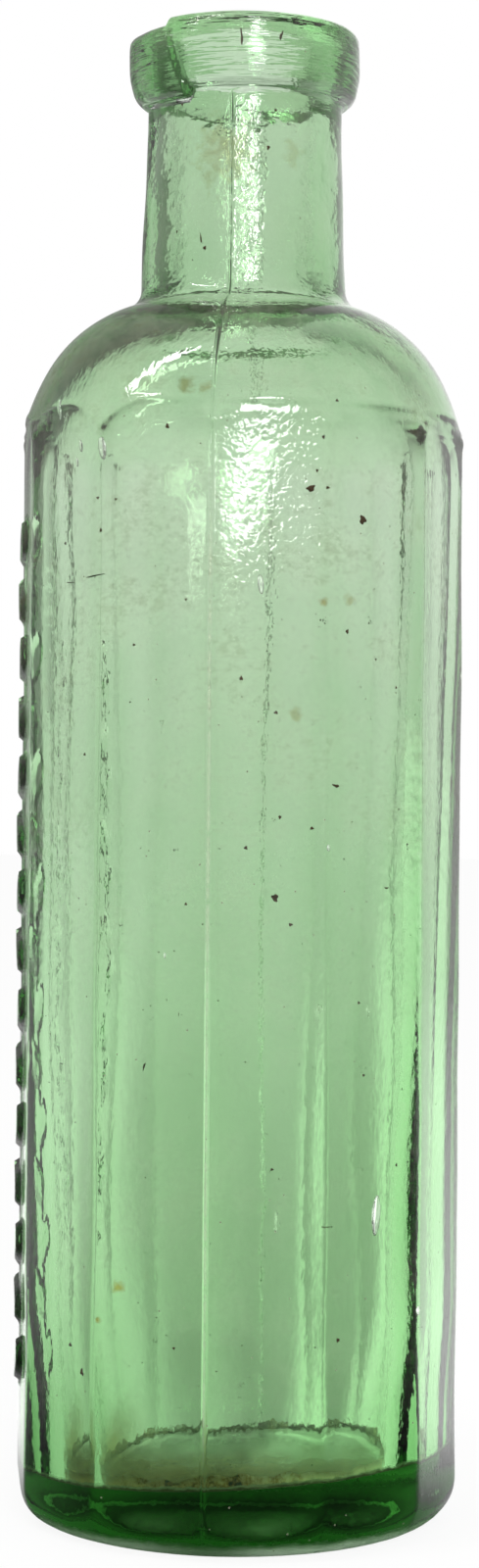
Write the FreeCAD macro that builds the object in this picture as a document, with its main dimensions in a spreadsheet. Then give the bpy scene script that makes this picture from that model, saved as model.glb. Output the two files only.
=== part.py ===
"""Antique twelve-sided medicine bottle in green glass, with a lip laid on by hand.

The glassmaker blew the body in a two-part mould, cracked it off the blowpipe at the end of the
neck, and laid a second gather of glass round that end as the lip. The two glasses are separate
solids here. A crust of dried contents lies in the rounded corner of the floor inside.

Millimetres, +Z up, origin at the centre of the foot. The mould parted on the YZ plane, so two of
the twelve panel edges, which carry its seams, lie on -Y and +Y.
"""

import FreeCAD, Part
import math
import os

import Sketcher
from FreeCAD import Placement, Rotation, Vector

PANELS = 12

# Driving dimensions: alias, value in millimetres or degrees, what it measures
SIZES = [
    ("total_height", 159.0, "foot to rim"),
    ("corner_radius", 24.0, "axis to a panel edge"),
    ("panel_edge_round", 0.8, "rounding of the twelve panel edges"),
    ("heel_radius", 5.0, "rounding from the panels to the foot"),
    ("foot_radius", 19.1, "outer radius of the flat the bottle stands on"),
    ("kick_radius", 14.5, "radius of the shallow hollow under the foot"),
    ("kick_depth", 1.5, "depth of that hollow"),
    ("shoulder_reach", 24.25, "radius where the shoulder curve stands upright"),
    ("shoulder_level", 110.1, "height where the shoulder curve stands upright"),
    ("shoulder_low_radius", 24.4, "lower, flatter arc of the shoulder"),
    ("shoulder_high_radius", 15.5, "upper, tighter arc of the shoulder"),
    ("shoulder_join_angle", 29.4, "degrees above level where the two arcs meet"),
    ("neck_foot_radius", 11.0, "neck where it rises from the shoulder"),
    ("neck_top_radius", 10.4, "neck under the lip"),
    ("neck_taper_top", 148.5, "height where the neck stops tapering"),
    ("neck_flare_round", 2.4, "rounding between neck and shoulder"),
    ("cavity_top_radius", 20.3, "cavity where its shoulder begins"),
    ("cavity_foot_radius", 17.6, "cavity at the floor, where the glass settled thicker"),
    ("floor_level", 6.0, "thickness of the base"),
    ("floor_round", 3.0, "rounding between floor and wall inside"),
    ("bore_radius", 7.2, "cork bore"),
    ("bore_foot_round", 8.0, "rounding where the bore opens into the cavity"),
    ("mouth_round", 0.7, "rounding of the mouth's inner edge"),
    ("lip_level", 151.3, "underside of the lip"),
    ("lip_radius", 12.4, "outside of the lip"),
    ("lip_top_round", 1.5, "rounding of the lip's upper edge"),
    ("lip_foot_round", 1.9, "rounding of the lip's lower edge"),
    ("lap_azimuth", 31.0, "degrees from -Y towards -X to the lap's free end"),
    ("lap_sweep", 62.0, "degrees that the lapped glass runs on round the lip"),
    ("lap_radius", 11.85, "outside of the lapped glass about its own centre"),
    ("lap_offset", 0.85, "its centre from the bottle's axis, towards the free end"),
    ("lap_sag", 0.9, "how far the lap hangs below the lip"),
    ("lap_drop", 0.8, "how far the lap stops short of the rim"),
    ("lap_round", 0.7, "rounding of the lap's edges"),
    ("crust_span", 32.0, "degrees of the floor rounding, each side of its middle, under the crust"),
]

# Centres of the two shoulder arcs. The wall is even there, so the cavity's arcs share them.
LOW_ARC_ACROSS = "(Sizes.shoulder_reach - Sizes.shoulder_low_radius)"
ARC_STEP = "(Sizes.shoulder_low_radius - Sizes.shoulder_high_radius)"
HIGH_ARC_ACROSS = f"({LOW_ARC_ACROSS} + {ARC_STEP} * cos(Sizes.shoulder_join_angle))"
HIGH_ARC_UP = f"(Sizes.shoulder_level + {ARC_STEP} * sin(Sizes.shoulder_join_angle))"
WALL = "(Sizes.shoulder_reach - Sizes.cavity_top_radius)"
CAVITY_LOW_RADIUS = f"(Sizes.shoulder_low_radius - {WALL})"
CAVITY_HIGH_RADIUS = f"(Sizes.shoulder_high_radius - {WALL})"


def make_sizes(doc):
    """The spreadsheet of driving dimensions, one aliased number a row."""
    sheet = doc.addObject("Spreadsheet::Sheet", "Sizes")
    for row, (alias, value, meaning) in enumerate(SIZES, start=1):
        sheet.set(f"A{row}", alias)
        sheet.set(f"B{row}", str(value))
        sheet.set(f"C{row}", meaning)
        sheet.setAlias(f"B{row}", alias)
    doc.recompute()
    return sheet


def new_body(doc, label):
    body = doc.addObject("PartDesign::Body", label)
    body.Label = label
    return body


def new_sketch(body, name, plane):
    """A sketch on one of the body's own origin planes."""
    sketch = body.newObject("Sketcher::SketchObject", name)
    support = next(f for f in body.Origin.OriginFeatures if f.Role == plane)
    sketch.AttachmentSupport = (support, [""])
    sketch.MapMode = "FlatFace"
    return sketch


def arc_between(start, end, radius, turns_left):
    """The arc of under a half circle from start to end, and its two ends in the sketch's order."""
    chord = end - start
    side = Vector(-chord.y, chord.x, 0) / chord.Length
    rise = math.sqrt(radius**2 - (chord.Length / 2) ** 2)
    centre = (start + end) / 2 + side * (rise if turns_left else -rise)
    first, last = (start, end) if turns_left else (end, start)
    angles = [math.atan2((p - centre).y, (p - centre).x) for p in (first, last)]
    arc = Part.ArcOfCircle(Part.Circle(centre, Vector(0, 0, 1), radius), *angles)
    return arc, ((1, 2) if turns_left else (2, 1))


def bind(sketch, kind, names, expression):
    """Adds one dimension to a sketch and ties it to the sheet."""
    value = float(sketch.evalExpression(expression))
    index = sketch.addConstraint(Sketcher.Constraint(kind, *names, value))
    sketch.setExpression(f"Constraints[{index}]", expression)


def place(sketch, geometry, end, across, up):
    """Fixes a point of a sketch by its two distances from the sketch's origin."""
    for kind, axis, expression in (("DistanceX", -2, across), ("DistanceY", -1, up)):
        if abs(float(sketch.evalExpression(expression))) < 1e-9:
            sketch.addConstraint(Sketcher.Constraint("PointOnObject", geometry, end, axis))
        else:
            bind(sketch, kind, (-1, 1, geometry, end), expression)


def draw_outline(sketch, corners, arcs=None):
    """A closed outline through corners given as sheet expressions.

    arcs maps a corner's number to (radius, turns_left) where the run that leaves it is an arc.
    """
    arcs = arcs or {}
    at = [Vector(*(float(sketch.evalExpression(e)) for e in corner), 0) for corner in corners]
    ends = []
    for i, start in enumerate(at):
        end = at[(i + 1) % len(at)]
        if i in arcs:
            radius, turns_left = arcs[i]
            run, order = arc_between(start, end, float(sketch.evalExpression(radius)), turns_left)
        else:
            run, order = Part.LineSegment(start, end), (1, 2)
        sketch.addGeometry(run)
        ends.append(order)
    for i, (across, up) in enumerate(corners):
        before = (i - 1) % len(corners)
        sketch.addConstraint(Sketcher.Constraint("Coincident", before, ends[before][1], i, ends[i][0]))
        place(sketch, i, ends[i][0], across, up)
    for i, (radius, _) in arcs.items():
        bind(sketch, "Radius", (i,), radius)
    return sketch


def draw_polygon(sketch, sides, radius):
    """A regular polygon about the origin with a corner on the negative vertical axis."""
    size = float(sketch.evalExpression(radius))
    turn = 2 * math.pi / sides
    at = [Vector(size * math.sin(k * turn), -size * math.cos(k * turn), 0) for k in range(sides)]
    for k in range(sides):
        sketch.addGeometry(Part.LineSegment(at[k], at[(k + 1) % sides]))
    circle = sketch.addGeometry(Part.Circle(Vector(), Vector(0, 0, 1), size), True)
    sketch.addConstraint(Sketcher.Constraint("Coincident", circle, 3, -1, 1))
    bind(sketch, "Radius", (circle,), radius)
    for k in range(sides):
        sketch.addConstraint(Sketcher.Constraint("Coincident", k, 2, (k + 1) % sides, 1))
        sketch.addConstraint(Sketcher.Constraint("PointOnObject", k, 1, circle))
    for k in range(1, sides):
        sketch.addConstraint(Sketcher.Constraint("Equal", 0, k))
    sketch.addConstraint(Sketcher.Constraint("PointOnObject", 0, 1, -2))
    return sketch


def turn(body, kind, name, sketch):
    """A Revolution or Groove of a sketch, a full turn about its upright axis."""
    feature = body.newObject(f"PartDesign::{kind}", name)
    feature.Profile = sketch
    feature.ReferenceAxis = (sketch, ["V_Axis"])
    feature.Angle = 360
    return feature


def cut_away(body, name, sketch):
    """A turned cut, with a test that it took glass away."""
    before = body.Tip.Shape.Volume
    groove = turn(body, "Groove", name, sketch)
    body.Document.recompute()
    if body.Tip.Shape.Volume > before - 1.0:
        raise RuntimeError(f"{name} cuts nothing")
    return groove


def edges_where(shape, wanted):
    """Names of the edges of a shape that pass a test."""
    return [f"Edge{i}" for i, edge in enumerate(shape.Edges, start=1) if wanted(edge)]


def is_upright(edge):
    """True for an edge that runs along Z."""
    return abs(edge.tangentAt(edge.FirstParameter).z) > 0.99


def is_ring(edge, radius, height):
    """True for a level round edge, whole or part, of that radius about Z at that height."""
    if edge.Degenerated:
        return False
    curve = edge.Curve
    return (
        isinstance(curve, Part.Circle)
        and abs(curve.Radius - radius) < 0.01
        and abs(curve.Center.z - height) < 0.01
        and math.hypot(curve.Center.x, curve.Center.y) < 0.01
    )


def round_edges(body, name, radius, wanted):
    """A Fillet on the edges of the body so far that pass a test."""
    body.Document.recompute()
    base = body.Tip
    names = edges_where(base.Shape, wanted)
    if not names:
        raise RuntimeError(f"{name} finds no edge")
    fillet = body.newObject("PartDesign::Fillet", name)
    fillet.Base = (base, names)
    fillet.setExpression("Radius", radius)
    body.Document.recompute()
    return fillet


def make_bottle_body(doc, sizes):
    """The blown glass: twelve flat panels, round shoulder, neck, thick base and the cavity."""
    body = new_body(doc, "bottle_body")

    # Twelve-sided block, with its upright edges softened as the mould leaves them
    panels = draw_polygon(new_sketch(body, "panel_plan", "XY_Plane"), PANELS, "Sizes.corner_radius")
    block = body.newObject("PartDesign::Pad", "panel_block")
    block.Profile = panels
    block.setExpression("Length", "Sizes.total_height")
    round_edges(body, "panel_edges", "Sizes.panel_edge_round", is_upright)

    # Shoulder and neck are turned out of the block. Where the round shoulder meets a flat panel it
    # leaves the arched panel tops.
    outside = "Sizes.corner_radius + 2"
    neck_drop = "(Sizes.neck_foot_radius - " + HIGH_ARC_ACROSS + ")"
    neck_foot = f"{HIGH_ARC_UP} + sqrt(Sizes.shoulder_high_radius^2 - {neck_drop}^2)"
    shoulder = draw_outline(
        new_sketch(body, "shoulder_and_neck", "XZ_Plane"),
        [
            (outside, "Sizes.shoulder_level"),
            (outside, "Sizes.total_height + 1"),
            ("Sizes.neck_top_radius", "Sizes.total_height + 1"),
            ("Sizes.neck_top_radius", "Sizes.neck_taper_top"),
            ("Sizes.neck_foot_radius", neck_foot),
            (
                f"{LOW_ARC_ACROSS} + Sizes.shoulder_low_radius * cos(Sizes.shoulder_join_angle)",
                "Sizes.shoulder_level + Sizes.shoulder_low_radius * sin(Sizes.shoulder_join_angle)",
            ),
            ("Sizes.shoulder_reach", "Sizes.shoulder_level"),
        ],
        {4: ("Sizes.shoulder_high_radius", False), 5: ("Sizes.shoulder_low_radius", False)},
    )
    cut_away(body, "turned_shoulder", shoulder)
    neck_ring = sizes.neck_foot_radius, float(sizes.evalExpression(neck_foot))
    round_edges(body, "neck_flare", "Sizes.neck_flare_round", lambda e: is_ring(e, *neck_ring))

    # Heel, from the panels round to the foot
    heel = draw_outline(
        new_sketch(body, "heel_outline", "XZ_Plane"),
        [
            ("Sizes.foot_radius", "0"),
            ("Sizes.foot_radius + Sizes.heel_radius", "Sizes.heel_radius"),
            (outside, "Sizes.heel_radius"),
            (outside, "-1"),
            ("Sizes.foot_radius", "-1"),
        ],
        {0: ("Sizes.heel_radius", True)},
    )
    cut_away(body, "turned_heel", heel)

    # Shallow hollow under the foot, so that the bottle stands on a ring
    kick_sphere = "(Sizes.kick_radius^2 + Sizes.kick_depth^2) / (2 * Sizes.kick_depth)"
    kick = draw_outline(
        new_sketch(body, "kick_outline", "XZ_Plane"),
        [("0", "0"), ("Sizes.kick_radius", "0"), ("0", "Sizes.kick_depth")],
        {1: (kick_sphere, True)},
    )
    cut_away(body, "kick_up", kick)

    # Cavity: floor, a wall that thickens downwards, a shoulder even with the outside, and the cork bore
    bore_rise = "(Sizes.bore_radius - " + HIGH_ARC_ACROSS + ")"
    bore_foot = f"{HIGH_ARC_UP} + sqrt({CAVITY_HIGH_RADIUS}^2 - {bore_rise}^2)"
    cavity = draw_outline(
        new_sketch(body, "cavity_outline", "XZ_Plane"),
        [
            ("0", "Sizes.floor_level"),
            ("Sizes.cavity_foot_radius - Sizes.floor_round", "Sizes.floor_level"),
            ("Sizes.cavity_foot_radius", "Sizes.floor_level + Sizes.floor_round"),
            ("Sizes.cavity_top_radius", "Sizes.shoulder_level"),
            (
                f"{LOW_ARC_ACROSS} + {CAVITY_LOW_RADIUS} * cos(Sizes.shoulder_join_angle)",
                f"Sizes.shoulder_level + {CAVITY_LOW_RADIUS} * sin(Sizes.shoulder_join_angle)",
            ),
            ("Sizes.bore_radius", bore_foot),
            ("Sizes.bore_radius", "Sizes.total_height + 1"),
            ("0", "Sizes.total_height + 1"),
        ],
        {
            1: ("Sizes.floor_round", True),
            3: (CAVITY_LOW_RADIUS, True),
            4: (CAVITY_HIGH_RADIUS, True),
        },
    )
    cut_away(body, "cavity", cavity)
    bore_ring = sizes.bore_radius, float(sizes.evalExpression(bore_foot))
    mouth_ring = sizes.bore_radius, sizes.total_height
    round_edges(body, "bore_foot", "Sizes.bore_foot_round", lambda e: is_ring(e, *bore_ring))
    round_edges(body, "mouth_edge", "Sizes.mouth_round", lambda e: is_ring(e, *mouth_ring))
    return body


def make_applied_lip(doc, sizes):
    """The second gather: a band round the neck's end, whose free end laps over its own start."""
    body = new_body(doc, "applied_lip")
    band = draw_outline(
        new_sketch(body, "band_section", "XZ_Plane"),
        [
            ("Sizes.bore_radius", "Sizes.lip_level"),
            ("Sizes.lip_radius", "Sizes.lip_level"),
            ("Sizes.lip_radius", "Sizes.total_height"),
            ("Sizes.bore_radius", "Sizes.total_height"),
        ],
    )
    turn(body, "Revolution", "band", band)
    top_ring = sizes.lip_radius, sizes.total_height
    foot_ring = sizes.lip_radius, sizes.lip_level
    round_edges(body, "band_top", "Sizes.lip_top_round", lambda e: is_ring(e, *top_ring))
    round_edges(body, "band_foot", "Sizes.lip_foot_round", lambda e: is_ring(e, *foot_ring))

    # The lapped glass turns about a centre of its own, so it stands proud at its free end and
    # sinks into the band as it runs on round the lip.
    section = new_sketch(body, "lap_section", "XZ_Plane")
    heading = "(270 - Sizes.lap_azimuth)"
    section.AttachmentOffset = Placement(Vector(), Rotation(Vector(0, 1, 0), 90))
    section.setExpression("AttachmentOffset.Rotation.Angle", f"{heading} * 1 deg")
    section.setExpression("AttachmentOffset.Base.x", f"Sizes.lap_offset * cos{heading}")
    section.setExpression("AttachmentOffset.Base.z", f"-Sizes.lap_offset * sin{heading}")
    lap_foot = "Sizes.lip_level - Sizes.lap_sag"
    lap_top = "Sizes.total_height - Sizes.lap_drop"
    draw_outline(
        section,
        [
            ("Sizes.bore_radius", lap_foot),
            ("Sizes.lap_radius - Sizes.lap_round", lap_foot),
            ("Sizes.lap_radius", f"{lap_foot} + Sizes.lap_round"),
            ("Sizes.lap_radius", f"{lap_top} - Sizes.lap_round"),
            ("Sizes.lap_radius - Sizes.lap_round", lap_top),
            ("Sizes.bore_radius", lap_top),
        ],
        {1: ("Sizes.lap_round", True), 3: ("Sizes.lap_round", True)},
    )
    lap = turn(body, "Revolution", "lapped_end", section)
    lap.setExpression("Angle", "Sizes.lap_sweep")
    lap.Reversed = True

    # The band was laid on the neck, so its inside is the neck's outside
    seat = draw_outline(
        new_sketch(body, "neck_seat_section", "XZ_Plane"),
        [
            ("0", f"{lap_foot} - 1"),
            ("Sizes.neck_top_radius", f"{lap_foot} - 1"),
            ("Sizes.neck_top_radius", "Sizes.total_height + 1"),
            ("0", "Sizes.total_height + 1"),
        ],
    )
    doc.recompute()
    cut_away(body, "neck_seat", seat)
    return body


def make_dried_crust(doc):
    """Dried contents: a thin crescent in the rounded corner between the floor and the wall."""
    body = new_body(doc, "dried_crust")
    across = "Sizes.cavity_foot_radius - Sizes.floor_round"
    up = "Sizes.floor_level + Sizes.floor_round"
    ends = [
        (
            f"{across} + Sizes.floor_round * cos({angle})",
            f"{up} + Sizes.floor_round * sin({angle})",
        )
        for angle in ("-45 - Sizes.crust_span", "-45 + Sizes.crust_span")
    ]
    section = draw_outline(
        new_sketch(body, "crust_section", "XZ_Plane"),
        ends,
        {0: ("Sizes.floor_round", True)},
    )
    turn(body, "Revolution", "crust_ring", section)
    return body


def check(doc, bodies):
    """Stops if any object failed, a sketch is loose, or a sub-part is not one sound solid."""
    for item in doc.Objects:
        if {"Invalid", "Error"} & set(item.State):
            raise RuntimeError(f"{item.Label} failed: {item.State}")
        if item.TypeId == "Sketcher::SketchObject" and not item.FullyConstrained:
            raise RuntimeError(f"{item.Label} is not fully constrained")
    for body in bodies:
        shape = body.Shape
        if shape.isNull() or not shape.isValid() or len(shape.Solids) != 1:
            raise RuntimeError(f"{body.Label} is not one sound solid")


def main():
    doc = FreeCAD.newDocument("antique_bottle")
    sizes = make_sizes(doc)
    bodies = [make_bottle_body(doc, sizes), make_applied_lip(doc, sizes), make_dried_crust(doc)]
    doc.recompute()
    check(doc, bodies)
    os.makedirs("parts", exist_ok=True)
    for body in bodies:
        body.Shape.exportStep(f"parts/{body.Label}.step")
        box = body.Shape.optimalBoundingBox(False)
        size = f"{box.XLength:.2f} x {box.YLength:.2f} x {box.ZLength:.2f} mm"
        print(f"{body.Label}: {body.Shape.Volume:.1f} mm3, {size}")


main()
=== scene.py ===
import math

import bpy
import numpy as np
from mathutils import Euler, Matrix


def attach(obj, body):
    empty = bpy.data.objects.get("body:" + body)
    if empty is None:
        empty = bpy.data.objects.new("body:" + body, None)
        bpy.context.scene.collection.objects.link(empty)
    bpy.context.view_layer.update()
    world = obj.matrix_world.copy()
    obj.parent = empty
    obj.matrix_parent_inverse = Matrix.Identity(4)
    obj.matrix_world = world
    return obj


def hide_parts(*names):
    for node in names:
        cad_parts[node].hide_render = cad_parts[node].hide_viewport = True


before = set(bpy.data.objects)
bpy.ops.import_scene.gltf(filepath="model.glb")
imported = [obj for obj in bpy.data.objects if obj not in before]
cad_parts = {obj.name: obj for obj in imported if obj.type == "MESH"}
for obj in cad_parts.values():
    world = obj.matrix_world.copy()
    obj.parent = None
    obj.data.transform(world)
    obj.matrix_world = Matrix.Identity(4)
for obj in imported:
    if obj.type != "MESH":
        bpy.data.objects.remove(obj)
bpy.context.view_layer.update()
scene = bpy.context.scene
mm = 0.001  # sizes below are in millimetres, Blender's are in metres
print("frame loaded:", ", ".join(sorted(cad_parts)))


class Wire:
    # an output socket of a node tree; arithmetic on it adds Math nodes
    def __init__(self, paint, socket):
        self.paint = paint
        self.socket = socket

    def other(self, name):  # another output of the same node
        return Wire(self.paint, self.socket.node.outputs[name])

    def __add__(self, term):
        return self.paint.maths("ADD", self, term)

    def __radd__(self, term):
        return self.paint.maths("ADD", term, self)

    def __sub__(self, term):
        return self.paint.maths("SUBTRACT", self, term)

    def __rsub__(self, term):
        return self.paint.maths("SUBTRACT", term, self)

    def __mul__(self, term):
        return self.paint.maths("MULTIPLY", self, term)

    def __rmul__(self, term):
        return self.paint.maths("MULTIPLY", term, self)

    def __truediv__(self, term):
        return self.paint.maths("DIVIDE", self, term)

    def __rtruediv__(self, term):
        return self.paint.maths("DIVIDE", term, self)


class Paint:
    # a node tree being wired up, for a material or the world
    def __init__(self, tree):
        self.tree = tree
        tree.nodes.clear()

    def node(self, kind, settings=None, sockets=None, out=0):
        made = self.tree.nodes.new("ShaderNode" + kind)
        for name, value in (settings or {}).items():
            if name == "stops":
                self.fillRamp(made.color_ramp, value)
            else:
                setattr(made, name, value)
        for name, value in (sockets or {}).items():
            if isinstance(value, Wire):
                self.tree.links.new(value.socket, made.inputs[name])
            else:
                made.inputs[name].default_value = value
        return Wire(self, made.outputs[out]) if made.outputs else None

    def fillRamp(self, ramp, stops):
        while len(ramp.elements) < len(stops):
            ramp.elements.new(1.0)
        for element, (position, colour) in zip(ramp.elements, stops):
            element.position = position
            element.color = colour

    def maths(self, operation, *terms):
        return self.node("Math", {"operation": operation}, dict(enumerate(terms)))

    def fade(self, value, low, high):  # 0 below low, 1 above high, smooth between
        return self.node("MapRange", {"interpolation_type": "SMOOTHSTEP"},
                         {"Value": value, "From Min": low, "From Max": high})

    def mixColour(self, share, first, second):
        return self.node("Mix", {"data_type": "RGBA"}, {0: share, 6: first, 7: second}, out=2)

    def speckle(self, place, size, detail=3.0, roughness=0.55):  # cloudy noise of that size in millimetres
        return self.node("TexNoise", {"noise_dimensions": "3D"}, {
            "Vector": place, "Scale": 1 / (size * mm), "Detail": detail, "Roughness": roughness})

    def stretch(self, place, factors):  # coordinates times a factor for each axis
        return self.node("VectorMath", {"operation": "MULTIPLY"}, {0: place, 1: factors})


def newMaterial(name):
    material = bpy.data.materials.new(name)
    material.use_nodes = True
    return material, Paint(material.node_tree)


def smoothStep(value, low, high):
    # 0 below low, 1 above high, smooth between
    share = np.clip((value - low) / (high - low), 0, 1)
    return share * share * (3 - 2 * share)


def softMin(first, second, reach):
    # the lesser of two values, rounded off where they are within reach of each other
    share = np.clip(0.5 + 0.5 * (second - first) / reach, 0, 1)
    return second + (first - second) * share - reach * share * (1 - share)


def ripple(around, height, waves):
    # a sum of sine waves on the turned surface, each with its size, whole turns round, rise in millimetres
    # and start in degrees
    total = np.zeros(np.broadcast(around, height).shape)
    for size, turns, rise, start in waves:
        total += size * np.sin(np.radians(turns * around + 360 * height / rise + start))
    return total


def sweepArc(centre, radius, start, end, count):
    # points (radius, height) along a circle from one angle to another, first point left out
    turn = np.radians(np.linspace(start, end, count + 1)[1:])
    return np.stack([centre[0] + radius * np.cos(turn), centre[1] + radius * np.sin(turn)], 1)


def straightRun(start, end, count):
    # points (radius, height) along a line, first point left out
    return np.linspace(start, end, count + 1)[1:]


def turnedPoint(around, radius, height):
    # around is in degrees from the front seam, on -Y, towards +X
    turn = np.radians(around)
    return np.stack(np.broadcast_arrays(radius * np.sin(turn), -radius * np.cos(turn), height), -1)


def gridFaces(rows, columns):
    # quads of a grid that closes on itself round its columns
    row = np.arange(rows - 1)[:, None]
    column = np.arange(columns)[None, :]
    nextRow, nextColumn = row + 1, (column + 1) % columns
    corners = [row * columns + column, row * columns + nextColumn,
               nextRow * columns + nextColumn, nextRow * columns + column]
    return np.stack(np.broadcast_arrays(*corners), -1).reshape(-1, 4)


def fanFaces(pole, ring, inwards):
    # triangles from a ring of points to one pole
    onward = np.roll(ring, -1)
    fan = (onward, ring) if inwards else (ring, onward)
    return np.stack([np.full_like(ring, pole), *fan], 1)


def newPiece(name, points, faceSets, material):
    mesh = bpy.data.meshes.new(name)
    faces = [face for faceSet in faceSets for face in faceSet.tolist()]
    mesh.from_pydata((points * mm).tolist(), [], faces)
    mesh.polygons.foreach_set("use_smooth", np.ones(len(faces), bool))
    mesh.materials.append(material)
    mesh.update()
    piece = bpy.data.objects.new(name, mesh)
    scene.collection.objects.link(piece)
    return piece


def addAttribute(piece, name, values):
    attribute = piece.data.attributes.new(name, "FLOAT", "POINT")
    attribute.data.foreach_set("value", values.astype(np.float32))


# The blown glass with its lip

glass = {
    "height": 159.0, "panels": 12,
    "corner": 23.85, "widest": 23.96, "edgeRound": 2.0, "panelCrown": 0.09,  # the panels and their edges
    "archRound": 0.22, "archBead": 0.17, "beadWide": 0.11,  # where the panels meet the shoulder
    "seamRidge": 0.36, "seamWidth": 0.17, "seamValley": 0.16,
    "kick": (16.5, 1.5), "foot": 19.1, "heel": 5.0,
    "shoulderLow": ((-0.15, 110.1), 24.4), "shoulderHigh": ((7.604, 114.469), 15.5),  # centre, radius
    "shoulderJoin": 29.4, "shoulderDrop": 0.2,
    "neckFoot": 11.0, "neckTop": 10.4, "neckTaperTop": 148.5, "neckFlare": 2.4,
    "lipFoot": 151.3, "lip": 12.4, "lipTopRound": 1.2, "lipFootRound": 1.2, "lipFillet": 0.7,
    "lipInset": 0.12, "lipBarrel": 0.12, "lipTuck": 0.45,
    "bore": 7.2, "boreFootRound": 8.0, "mouth": 7.0, "mouthFoot": 147.0, "mouthRound": 2.0,
    "cavityTop": 21.0, "cavityFoot": 17.5, "floor": 6.0, "floorRound": 0.2,
    "floorTilt": 1.2, "floorPitch": 0.5,  # the floor inside rises to the right and to the front
    "leftThinner": 0.7, "rightThinner": 0.65, "rightThicker": 0.57,  # the wall: left, low right, upper right
}
waves = {  # hand work, each wave a size, whole turns round, rise and start
    "outside": [(0.035, 5, 31, 20), (0.03, 7, -47, 110), (0.02, 3, 17, 60)],
    "neck": [(0.05, 3, 23, 10), (0.035, 7, -11, 70)],
    "lip": [(0.07, 2, 90, 10), (0.05, 5, 40, 90)],
    "bore": [(0.09, 2, 60, 40), (0.05, 5, -19, 10), (0.05, 3, 9, 50)],
    "cavity": [(0.07, 5, 95, 200), (0.05, 7, -120, 80), (0.035, 11, -60, 10)],
    "oval": [(0.4, 2, 4000, 237), (0.1, 1, 4000, -34), (0.15, 3, 4000, 63)],
}
# the lip's free end: where it stops, in degrees at foot and top, and how far it stands out, runs on and hangs
lap = {"endFoot": -24.0, "endTop": -37.0, "proud": 0.32, "run": 60.0, "sag": 0.9, "drop": 0.75}
sprigs = [  # raised leaf sprigs up two panels: panel middle in degrees, lowest and highest point, size
    {"panel": -75.0, "low": 14.0, "high": 107.0, "size": 1.0},
    {"panel": -105.0, "low": 27.0, "high": 93.0, "size": 0.85},
]
sprigLeaf = {"pitch": 6.2, "long": 2.8, "wide": 1.5, "slant": 20.0, "out": 0.9, "tall": 0.7, "edge": 0.5,
             "stem": 0.3, "stemWide": 0.4, "panelOut": 23.0, "panelHalf": 14.0}


def panelRadius(around):
    # a many-sided plan as radius by angle: flat sides, and a small circle that rounds each corner
    half = 180 / glass["panels"]
    apothem = glass["corner"] * math.cos(math.radians(half))
    middle = (apothem - glass["edgeRound"]) / math.cos(math.radians(half))
    fromEdge = np.abs((around + half) % (2 * half) - half)
    flat = apothem / np.cos(np.radians(half - fromEdge))
    across = middle * np.sin(np.radians(fromEdge))
    beyond = np.sqrt(np.clip(glass["edgeRound"] ** 2 - across**2, 0, None))
    rounded = middle * np.cos(np.radians(fromEdge)) + beyond
    return np.where(across < glass["edgeRound"] * math.sin(math.radians(half)), rounded, flat)


def sprigHeight(around, height, sprig):
    # slanted pointed leaves by turns left and right of a stem: a leaf's half width falls off with the square
    # of the way from its middle, and its edge slopes down to the panel
    leaf, size, farOff = sprigLeaf, sprig["size"], 99.0
    turn = np.abs((around - sprig["panel"] + 180) % 360 - 180)
    across = leaf["panelOut"] * np.sin(np.radians(around - sprig["panel"])) / size
    across = np.where(turn < leaf["panelHalf"], across, farOff)
    count = np.floor((height - sprig["low"]) / (leaf["pitch"] * size))
    along = (height - sprig["low"]) / size - (count + 0.5) * leaf["pitch"]
    side = np.where(count % 2 == 0, 1.0, -1.0)
    slant = np.radians(leaf["slant"]) * side
    fromMiddle = across - side * leaf["out"]
    length = along * np.cos(slant) + fromMiddle * np.sin(slant)
    width = -along * np.sin(slant) + fromMiddle * np.cos(slant)
    reach = leaf["wide"] * (1 - (length / leaf["long"]) ** 2)
    blade = smoothStep(reach - np.abs(width), 0.0, leaf["edge"])
    stem = leaf["stem"] * np.exp(-(across / leaf["stemWide"]) ** 2)
    within = (height > sprig["low"]) & (height < sprig["high"])
    return leaf["tall"] * size * within * np.maximum(blade, stem)


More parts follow.
